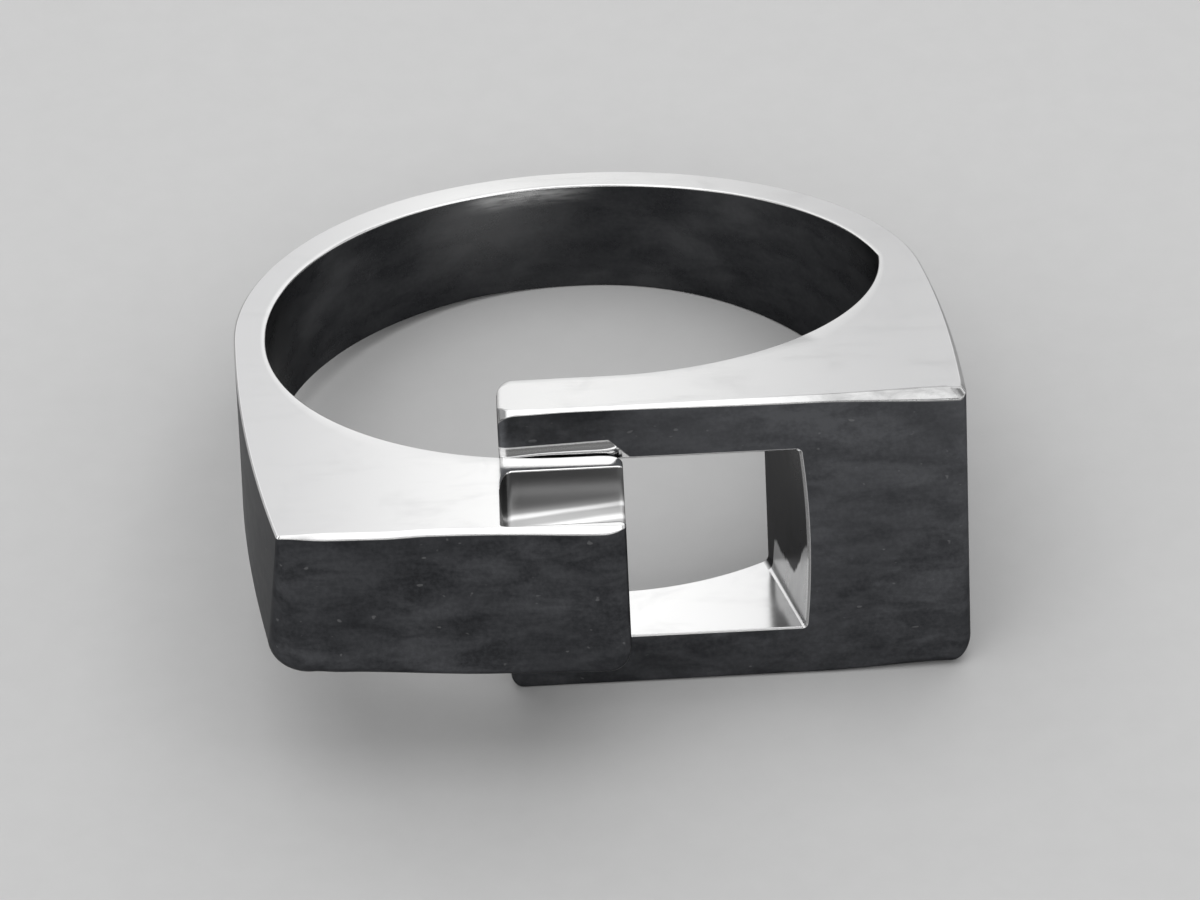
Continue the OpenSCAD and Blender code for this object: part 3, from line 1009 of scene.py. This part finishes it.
def make_ring(points, faces):
    """The ring as one mesh object, with all faces pointing outward."""
    mesh = bpy.data.meshes.new("ring_body")
    mesh.from_pydata(to_world(points).tolist(), [], faces.tolist())
    work = bmesh.new()
    work.from_mesh(mesh)
    bmesh.ops.recalc_face_normals(work, faces=work.faces)
    work.to_mesh(mesh)
    loose = sum(1 for edge in work.edges if not edge.is_manifold)
    volume = work.calc_volume(signed=True)
    work.free()
    print("open edges:", loose, "volume in mm3:", round(volume * 1e9, 1))
    mesh.polygons.foreach_set("use_smooth", np.ones(len(mesh.polygons), bool))
    piece = bpy.data.objects.new("ring_body", mesh)
    bpy.context.scene.collection.objects.link(piece)
    return piece


ring = make_ring(ring_points, ring_faces)


def read_mesh(mesh):
    """The mesh's points and four-cornered faces as arrays."""
    points = np.zeros(len(mesh.vertices) * 3)
    mesh.vertices.foreach_get("co", points)
    faces = np.zeros(len(mesh.polygons) * 4, int)
    mesh.polygons.foreach_get("vertices", faces)
    return points.reshape(-1, 3), faces.reshape(-1, 4)


def weight_normals(mesh):
    """A point's normal is the sum of its faces' normals times their areas, so flats stay flat."""
    points, faces = read_mesh(mesh)
    normals = np.zeros_like(points)
    by_face = face_normals(points, faces)
    for corner in range(4):
        np.add.at(normals, faces[:, corner], by_face)
    normals /= np.linalg.norm(normals, axis=1)[:, None]
    mesh.normals_split_custom_set_from_vertices(normals.tolist())


def add_marks(mesh, marks):
    """Store the finish's masks and the band's own coordinates on the points."""
    for mask, name in zip(marks.T, MARKS):
        mesh.attributes.new(name, "FLOAT", "POINT").data.foreach_set("value", mask.copy())
    scoop = np.concatenate([marks[:, ARC_SHARE : IN_ARC + 1], np.zeros((len(marks), 1))], 1)
    vectors = {"band": marks[:, ALONG : AT_X + 1], "scoop": scoop, "window": marks[:, TO_RIGHT : BACK + 1]}
    for name, place in vectors.items():
        mesh.attributes.new(name, "FLOAT_VECTOR", "POINT").data.foreach_set("vector", place.ravel())


weight_normals(ring.data)
add_marks(ring.data, ring_marks)
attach(ring, "root")
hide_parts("ring")

# %% [markdown]
# The whole ring is one metal with three finishes. The side faces, the bevels, the window's walls and the
# trough are polished, with the soft clouds that a hand-held buff leaves. The outer walls are a satin painted
# dark, as painted shade for the dark surroundings they mirror, with blots and fine lines along the band and
# small casting pits. The finger hole's wall is painted as dark, as shade, but smoother. Three materials on
# separate faces would meet in hard steps. One material does all of it, because the masks that tell the
# finishes apart are stored on the points. Its arithmetic is written in Python.

# %% Arithmetic on sockets
class Wire:
    """A socket of a material. Ordinary arithmetic on it adds Math nodes."""

    def __init__(self, recipe, socket):
        self.recipe, self.socket = recipe, socket

    def math(self, operation, *values):
        """One Math node with these values or wires on its sockets."""
        return self.recipe.node("ShaderNodeMath", {"operation": operation}, dict(enumerate(values)))

    def __add__(self, other):
        return self.math("ADD", self, other)

    def __sub__(self, other):
        return self.math("SUBTRACT", self, other)

    def __rsub__(self, other):
        return self.math("SUBTRACT", other, self)

    def __mul__(self, other):
        return self.math("MULTIPLY", self, other)

    __radd__ = __add__
    __rmul__ = __mul__

    def between(self, low, high):
        """0 below low, 1 above high, and a smooth change in between."""
        return self.recipe.node(
            "ShaderNodeMapRange",
            {"interpolation_type": "SMOOTHSTEP"},
            {"Value": self, "From Min": low, "From Max": high},
        )


class Recipe:
    """A material and the one method that adds nodes to it."""

    def __init__(self, name):
        self.material = bpy.data.materials.new(name)
        self.material.use_nodes = True
        self.tree = self.material.node_tree
        self.tree.nodes.clear()

    def node(self, kind, settings, inputs, output=0):
        """Add a node: first its settings, then its sockets' values or links."""
        made = self.tree.nodes.new(kind)
        for name, value in settings.items():
            setattr(made, name, value)
        for name, value in inputs.items():
            if isinstance(value, Wire):
                self.tree.links.new(value.socket, made.inputs[name])
            else:
                made.inputs[name].default_value = value
        return Wire(self, made.outputs[output]) if output is not None else None

    def mark(self, name, output="Fac"):
        """A mask or a vector stored on the points."""
        return self.node("ShaderNodeAttribute", {"attribute_name": name}, {}, output)

    def stretched(self, place, scale, turn=0.0):
        """Coordinates turned about Z and scaled, for a pattern that runs in one direction."""
        inputs = {"Vector": place, "Rotation": (0, 0, math.radians(turn)), "Scale": scale}
        return self.node("ShaderNodeMapping", {"vector_type": "POINT"}, inputs)

    def noise(self, place, scale, detail=2.0, roughness=0.5, distortion=0.0):
        """A noise between 0 and 1, mostly near 0.5."""
        inputs = {"Vector": place, "Scale": scale, "Detail": detail, "Roughness": roughness}
        inputs["Distortion"] = distortion
        return self.node("ShaderNodeTexNoise", {}, inputs)

    def parts(self, vector):
        """The three numbers of a vector."""
        split = self.node("ShaderNodeSeparateXYZ", {}, {0: vector})
        return [Wire(self, socket) for socket in split.socket.node.outputs]

    def join(self, x, y, z):
        """A vector of three numbers."""
        return self.node("ShaderNodeCombineXYZ", {}, {0: x, 1: y, 2: z})

    def finish(self, inputs):
        """Put one Principled shader with these inputs on the surface, and give back the material."""
        shader = self.node("ShaderNodeBsdfPrincipled", {}, inputs)
        self.node("ShaderNodeOutputMaterial", {}, {"Surface": shader}, None)
        return self.material

    def blend(self, share, first, second):
        """A colour between two colours."""
        return self.node("ShaderNodeMix", {"data_type": "RGBA"}, {0: share, 6: first, 7: second}, 2)


# %% [markdown]
# Silver is one colour. A rough, oxidised or unlit place only looks darker, and on a pale floor it has to be
# darker in the finish too, as painted shade. So the tones are greys, with a trace of blue in the dark ones.
# EDGE_TINT is what the metal gives back at a grazing angle, where clean metal would turn white.

# %% The silver's tones
MM = 1000.0
POLISHED = (0.94, 0.94, 0.935, 1)
FILED = (0.78, 0.78, 0.78, 1)
# Painted shade: polished faces turn to this grey toward both sides. Pits on the satin are lightened toward
# it.
SHADED = (0.63, 0.63, 0.635, 1)
# Grey of the random clouds on the polish; also painted shade at the window's right wall and in its corner.
CLOUD_AND_SHADE = (0.55, 0.55, 0.555, 1)
MOTTLED = (0.38, 0.38, 0.38, 1)
# Painted shade: the satin walls' darkness stands in for the dark surroundings that they mirror.
SATIN_SHADE_DARK = (0.03, 0.031, 0.034, 1)
SATIN_SHADE_LIGHT = (0.128, 0.131, 0.14, 1)
# Painted shade: the finger hole's wall is darker than the polish, as shade in the hole.
INSIDE_DARK = (0.03, 0.031, 0.034, 1)
INSIDE_LIGHT = (0.14, 0.142, 0.147, 1)
# Painted highlight: the light streaks in the trough.
SCOOP_HIGHLIGHT = (0.85, 0.85, 0.85, 1)
SCOOP_GREY = (0.4, 0.4, 0.4, 1)
# Painted shadow at the trough's back; also a dull band under the shine's upper line.
SCOOP_DARK = (0.19, 0.19, 0.19, 1)
# Painted shade: the trough's front, where nothing lights it.
SCOOP_FRONT_SHADE = (0.15, 0.15, 0.15, 1)
# Painted shade: the unlit part of the window's right wall.
UNLIT = (0.05, 0.05, 0.052, 1)
RUBBED = (0.86, 0.86, 0.86, 1)
EDGE_TINT = (0.52, 0.52, 0.52, 1)

# %% [markdown]
# A pattern is a noise read in coordinates that suit it. Lines, blots and patches follow the metal, so they
# are read in distance along the band and height. Clouds, grain and pits have no direction, so they are read
# in plain millimetres. A stretch of less than 1 makes a pattern longer that way.

# %% Zones and patterns
WIDE_CORNER_AT = WIDE_REACH + WIDE_SIDE
PIT_RANGE = (0.74, 0.8)


def zones_and_patterns(recipe):
    """Everything that the finish is mixed from, by name.

    on_wide is 1 on the wide arm's front and 0 past its right corner. depth says how light the satin is: a
    sum of blots, lines and grain, each times its weight."""
    at = SimpleNamespace()
    at.satin, at.inside, at.edge = (recipe.mark(name) for name in MARKS)
    along = recipe.mark("band", "Vector")
    at.distance, at.height, at.x = recipe.parts(along)
    at.on_wide = 1 - at.distance.between(WIDE_CORNER_AT + 0.1, WIDE_CORNER_AT + 0.9)
    at.arc, in_scoop, _ = recipe.parts(recipe.mark("scoop", "Vector"))
    at.in_scoop = in_scoop.between(0.4, 0.6)

    place = recipe.stretched(recipe.node("ShaderNodeTexCoord", {}, {}, "Object"), (MM, MM, MM))
    at.clouds = recipe.noise(place, 0.5, 4.0, 0.6, 0.5)
    at.smears = recipe.noise(recipe.stretched(place, (0.3, 1.3, 1.0), 12), 1.0, 3.0, 0.6)
    at.smudge = recipe.noise(recipe.stretched(place, (0.9, 2.5, 2.5)), 1.0, 4.0, 0.65, 0.5)
    at.lines = recipe.noise(recipe.stretched(along, (0.9, 7.0, 0)), 1.0, 5.0, 0.62)
    at.blots = recipe.noise(recipe.stretched(along, (0.6, 1.3, 0)), 1.0, 4.0, 0.55, 0.5)
    at.patches = recipe.noise(recipe.stretched(along, (0.22, 0.4, 0)), 1.0, 3.0, 0.55)
    grain = recipe.noise(place, 7.0, 3.0, 0.6)
    at.depth = at.blots.between(0.28, 0.72) * 0.62 + at.lines.between(0.3, 0.8) * 0.12
    at.depth = at.depth + grain.between(0.3, 0.75) * 0.28
    at.pits = recipe.noise(recipe.stretched(place, (3.2, 3.2, 5.0)), 1.0, 1.0, 0.4).between(*PIT_RANGE)
    return at


# %% [markdown]
# The polished faces are brightest in the middle of the ring and are painted a little greyer toward both
# sides, as painted shade. The bevels were only filed, so they are duller, and the wide arm's bevel is mottled
# at its end and toward its corner.

# %% Polished faces and bevels
LEFT_SHADE, RIGHT_SHADE = (0.5, 10.0), (-1.0, 10.0)
MOTTLED_LEFT, MOTTLED_RIGHT = (1.9, 2.2), (4.0, 8.0)


def polished_tone(recipe, at):
    """Near white, shaded by X, with filed bevels, clouds, smears and mottling blended over it in turn."""
    shade = (0 - at.x).between(*LEFT_SHADE) + at.x.between(*RIGHT_SHADE) * 0.9
    bright = recipe.blend(at.edge, recipe.blend(shade, POLISHED, SHADED), FILED)
    cloudy = at.clouds.between(0.5, 0.85) * 0.3 + at.smears.between(0.55, 0.8) * 0.16
    bright = recipe.blend(cloudy, bright, CLOUD_AND_SHADE)
    ends = at.x.between(*MOTTLED_RIGHT) + (0 - at.x).between(*MOTTLED_LEFT)
    at.mottled = at.edge * at.on_wide * ends
    return recipe.blend(at.mottled * (0.55 + at.smudge.between(0.3, 0.7) * 0.45), bright, MOTTLED)


# %% [markdown]
# The satin walls are mixed from the darkest to the lightest satin by depth, all of it painted shade, and the
# wide arm's front is painted lighter toward its upper edge, as painted light. In the finger hole, left of the
# back, a painted highlight makes a pale spot that ends in a bright streak below the upper edge.

# %% Satin walls and the finger hole
# Painted highlights in the finger hole: a glow spot and a streak under the upper edge.
GLOW_SPOT = ((-5.5, -2.9), (-2.5, 1.2), (-1.6, 1.5))
RIM_HIGHLIGHT = ((-3.4, -2.2), (-1.4, 1.2), (1.1, 1.75))
BACK_BEGINS, BACK_ENDS = (20.0, 24.0), (38.0, 42.0)


def wall_tone(recipe, at):
    """The two satins, both painted dark as shade, told apart by the inside mask.

    A painted glow spot, a painted highlight, begins and ends in X and begins in height, and it lies on the
    back half of the hole's wall."""
    at_back = at.distance.between(*BACK_BEGINS) * (1 - at.distance.between(*BACK_ENDS))

    def spot(begins, ends, rises):
        """The product of the three limits."""
        return at_back * at.x.between(*begins) * (1 - at.x.between(*ends)) * at.height.between(*rises)

    # Painted light: the wide arm's front is lighter toward its upper edge.
    high = at.on_wide * (0.1 + at.height.between(-3.5, 4.5) * 0.28)
    light = at.depth * (0.5 + at.patches.between(0.3, 0.7) * 0.45) + high
    dark = recipe.blend(at.pits * 0.14, recipe.blend(light, SATIN_SHADE_DARK, SATIN_SHADE_LIGHT), SHADED)
    # Painted highlights: a pale glow spot on the hole's wall and a bright streak below its upper edge.
    glow, highlight_streak = spot(*GLOW_SPOT), spot(*RIM_HIGHLIGHT) * at.lines.between(0.2, 0.7)
    light = at.patches.between(0.45, 0.75) * 0.4 + at.depth * 0.3 + glow * 0.3
    bore = recipe.blend(light, INSIDE_DARK, INSIDE_LIGHT)
    return recipe.blend(at.inside, dark, recipe.blend(glow * 0.07 + highlight_streak * 0.7, bore, POLISHED))


# %% [markdown]
# Just above the narrow arm the wide arm's wall is rubbed to a shine and mirrors that arm's upper face. The
# shine's upper limit rises slightly to the right, where an oblique line cuts it off. A thin line along the
# upper limit is rougher, so it catches light from everywhere.

# %% The shine above the narrow arm
SHINE_LOW = (1.9, 2.1)
SHINE_TOP, SHINE_RISE = 3.695, 0.037
SHINE_RIGHT = 4.55
SHINE_LINE, SHINE_DULL = (0.05, 0.07), (0.12, 0.17)


def rubbed_wall(recipe, at, wall):
    """The wall's tone with the shine on it.

    below is the distance under the limit SHINE_TOP + SHINE_RISE * x, and the oblique line is where x plus
    height is SHINE_RIGHT."""
    below = at.x * SHINE_RISE + SHINE_TOP - at.height
    past_line = below.between(*SHINE_LINE)
    at.shine_line = 1 - past_line
    cut = (at.x + at.height - SHINE_RIGHT).between(0, 0.05)
    shine = at.on_wide * at.height.between(*SHINE_LOW) * below.between(0, 0.015) * (1 - cut)
    at.rubbed = at.satin * (1 - at.inside) * shine
    dull = past_line * (1 - below.between(*SHINE_DULL))
    return recipe.blend(at.rubbed, wall, recipe.blend(dull * 0.15, RUBBED, SCOOP_DARK))


# %% [markdown]
# The trough was scraped and then buffed lengthwise. From front to back it has painted shade where nothing
# lights it, grey with two painted highlight streaks, and a painted shadow again. The painted highlights slant
# a little.

# %% The trough
# Painted highlights in the trough: two slanting light streaks, with painted shade at the front and back.
HIGHLIGHT_SLANT = 0.019
HIGHLIGHT_LOW, HIGHLIGHT_HIGH = (0.675, 0.7, 0.705, 0.73), (0.755, 0.776, 0.782, 0.8)
TROUGH_FRONT, TROUGH_SHADOW = (0.42, 0.5), (0.775, 0.84)


def trough_tone(recipe, at):
    """Painted highlights and shade by the share of the arc from front to back, less HIGHLIGHT_SLANT for each
    millimetre of X.

    A painted highlight streak begins between its first two numbers and ends between its last two, a little
    wavy by noise."""
    slant = at.arc - at.x * HIGHLIGHT_SLANT
    ripple = recipe.noise(recipe.join(at.x * 0.35, slant * 22, 0.0), 1.0, 2.0, 0.5)
    wavy = slant + ripple * 0.02 - 0.01

    def highlight_streak(begins, begun, ends, ended):
        """1 between the two changes, 0 outside them."""
        return wavy.between(begins, begun) * (1 - wavy.between(ends, ended))

    highlight_streaks = highlight_streak(*HIGHLIGHT_HIGH) + highlight_streak(*HIGHLIGHT_LOW)
    tone = recipe.blend(highlight_streaks * (0.65 + ripple * 0.5), SCOOP_GREY, SCOOP_HIGHLIGHT)
    # Painted shadow toward the back and painted shade at the front.
    tone = recipe.blend(slant.between(*TROUGH_SHADOW), tone, SCOOP_DARK)
    return recipe.blend(1 - wavy.between(*TROUGH_FRONT), tone, SCOOP_FRONT_SHADE)


# %% [markdown]
# The window's walls are bright, except for the right one. Above a ragged border it is painted nearly black as
# shade, and below the border the bright metal stands like a flame in the corner. Painted grey shade lies at
# the flame's foot and in the corner beside it.

# %% The window's right wall
FLAME_FOOT, FLAME_RISE, FLAME_RAGGED = 0.12, 0.26, 0.12
FLAME_RISES, FLAME_STOPS = (0.03, 0.38), (0.79, 0.87)
WALL_RIGHT, WALL_FRONT = (0.975, 0.99), (0.03, 0.05)


def window_tone(recipe, at, bright):
    """The bright tone with painted shade on the right wall's dark part and in the corner beside it.

    The border's height is a foot, plus a rise toward the front, plus noise. At the wall's back it is 0."""
    to_right, up, back = recipe.parts(recipe.mark("window", "Vector"))
    feather = recipe.noise(recipe.join(back * 7.0, up * 2.5, 0.0), 1.0, 4.0, 0.7)
    flame = FLAME_FOOT + (1 - back.between(*FLAME_RISES)) * FLAME_RISE + feather * FLAME_RAGGED
    flame = flame * (1 - back.between(*FLAME_STOPS))
    at.right_wall = to_right.between(*WALL_RIGHT) * back.between(*WALL_FRONT)
    unlit = at.right_wall * (up - flame).between(-0.02, 0.01)
    # Painted shade: grey at the flame's foot.
    foot_shade = at.right_wall * (1 - back.between(0.3, 0.75)) * feather.between(0.25, 0.6)
    bright = recipe.blend(foot_shade * 0.5, bright, CLOUD_AND_SHADE)
    bright = recipe.blend(unlit, bright, UNLIT)
    # Painted shade in the corner beside the right wall.
    corner_shade = to_right.between(0.86, 0.98) * (1 - up.between(0.25, 0.45)) * feather.between(0.35, 0.7)
    return recipe.blend(corner_shade * 0.25 * (1 - unlit), bright, CLOUD_AND_SHADE)


# %% [markdown]
# Last, the masks choose between the tones, and the same masks set how rough the metal is. The relief is only
# a hint of blots, lines and pits, two hundredths of a millimetre deep.

# %% The finished silver
ROUGH_POLISHED, ROUGH_SATIN, ROUGH_RUBBED = 0.12, 0.30, 0.07
RELIEF_STRENGTH, RELIEF_DEPTH = 0.22, 0.00002


def make_silver():
    """Polished, satin and inner finish in one material.

    Roughness and relief are sums of patterns, each times its weight, mixed by the satin mask."""
    recipe = Recipe("silver_polished_and_satin")
    at = zones_and_patterns(recipe)
    bright = polished_tone(recipe, at)
    wall = rubbed_wall(recipe, at, wall_tone(recipe, at))
    bright = recipe.blend(at.in_scoop, bright, trough_tone(recipe, at))
    bright = window_tone(recipe, at, bright)

    polished = ROUGH_POLISHED + at.clouds * 0.08 + at.smears.between(0.45, 0.8) * 0.05 + at.mottled * 0.1
    polished = polished + at.in_scoop * 0.2 + at.right_wall * 0.12
    satin = ROUGH_SATIN + at.depth * 0.12 - at.inside * 0.06
    satin = satin + at.rubbed * (ROUGH_RUBBED + at.shine_line * 0.4 - satin)
    unrubbed = at.satin * (1 - at.rubbed)
    relief = (at.lines * 0.3 + at.blots * 0.8 - at.pits * 0.5) * unrubbed
    relief = relief + (1 - at.satin) * (at.clouds * 0.8 + at.mottled * at.smudge)
    raised = {"Strength": RELIEF_STRENGTH, "Distance": RELIEF_DEPTH, "Height": relief}
    surface = {
        "Base Color": recipe.blend(at.satin, bright, wall),
        "Metallic": 1.0,
        "Roughness": polished + at.satin * (satin - polished),
        "Normal": recipe.node("ShaderNodeBump", {}, raised),
        "Specular Tint": EDGE_TINT,
    }
    return recipe.finish(surface)


silver = make_silver()
ring.data.materials.append(silver)
print("silver has", len(silver.node_tree.nodes), "nodes")

# %% [markdown]
# The studio is a pale floor under soft panels. A mirror-bright face shows only what it reflects: from this
# camera the side faces show what stands low behind the ring, and the bevels show what hangs over it. So one
# panel stands behind the ring and a brighter one hangs above. A narrow panel in front lights the strip behind
# the trough by way of the wide arm's wall. The other four do the same for views from the sides and the back.
# An environment picture would light it as well, but nothing is read from disk here.

# %% Floor, panels and surroundings
FLOOR_HALF = 4.0
FLOOR_GREY = 0.56
TOOTH_SCALE, TOOTH_DEPTH = 900.0, 0.00005
SURROUND = 0.2


def panel(name, place, width, height, brightness):
    """A soft light that faces the ring. Its power is brightness times area times pi."""
    light = bpy.data.lights.new(name, "AREA")
    light.shape = "RECTANGLE"
    light.size, light.size_y = width, height
    light.energy = brightness * width * height * math.pi
    made = bpy.data.objects.new(name, light)
    bpy.context.scene.collection.objects.link(made)
    aim = (-Vector(place)).to_track_quat("-Z", "Y")
    made.matrix_world = Matrix.Translation(place) @ aim.to_matrix().to_4x4()
    made.visible_camera = False
    return made


PANELS = (
    ("panel_behind", (0, 0.55, 0.24), 1.4, 0.52, 1.0),
    ("panel_above", (0, 0.09, 0.62), 0.9, 0.78, 1.4),
    ("panel_front", (0, -0.56, 0.33), 0.8, 0.16, 1.6),
    ("panel_left", (-0.6, 0.05, 0.3), 0.5, 0.4, 0.6),
    ("panel_right", (0.6, 0.05, 0.3), 0.5, 0.4, 0.6),
    ("panel_front_left", (-0.42, -0.34, 0.5), 0.42, 0.5, 0.9),
    ("panel_front_right", (0.42, -0.34, 0.5), 0.42, 0.5, 0.9),
)
for values in PANELS:
    panel(*values)
print(len(PANELS), "soft panels")


def make_floor():
    """A pale sheet of paper, with a hint of tooth: a fine noise that dims it by up to 6 percent."""
    recipe = Recipe("pale_paper")
    place = recipe.node("ShaderNodeTexCoord", {}, {}, "Object")
    tooth = recipe.noise(place, TOOTH_SCALE, 3.0, 0.6)
    grey, dim = (FLOOR_GREY,) * 3 + (1,), (FLOOR_GREY * 0.94,) * 3 + (1,)
    bump = recipe.node("ShaderNodeBump", {}, {"Strength": 0.2, "Distance": TOOTH_DEPTH, "Height": tooth})
    paper = recipe.finish({"Base Color": recipe.blend(tooth, dim, grey), "Roughness": 0.9, "Normal": bump})
    mesh = bpy.data.meshes.new("floor")
    corners = np.array([[-1, -1, 0], [1, -1, 0], [1, 1, 0], [-1, 1, 0]]) * FLOOR_HALF
    mesh.from_pydata(corners.tolist(), [], [(0, 1, 2, 3)])
    mesh.materials.append(paper)
    floor = bpy.data.objects.new("floor", mesh)
    bpy.context.scene.collection.objects.link(floor)
    return floor


make_floor()
world = bpy.data.worlds.new("surroundings")
world.use_nodes = True
world.node_tree.nodes["Background"].inputs["Color"].default_value = (SURROUND, SURROUND, SURROUND, 1)
bpy.context.scene.world = world
bpy.context.scene.view_settings.view_transform = "Standard"
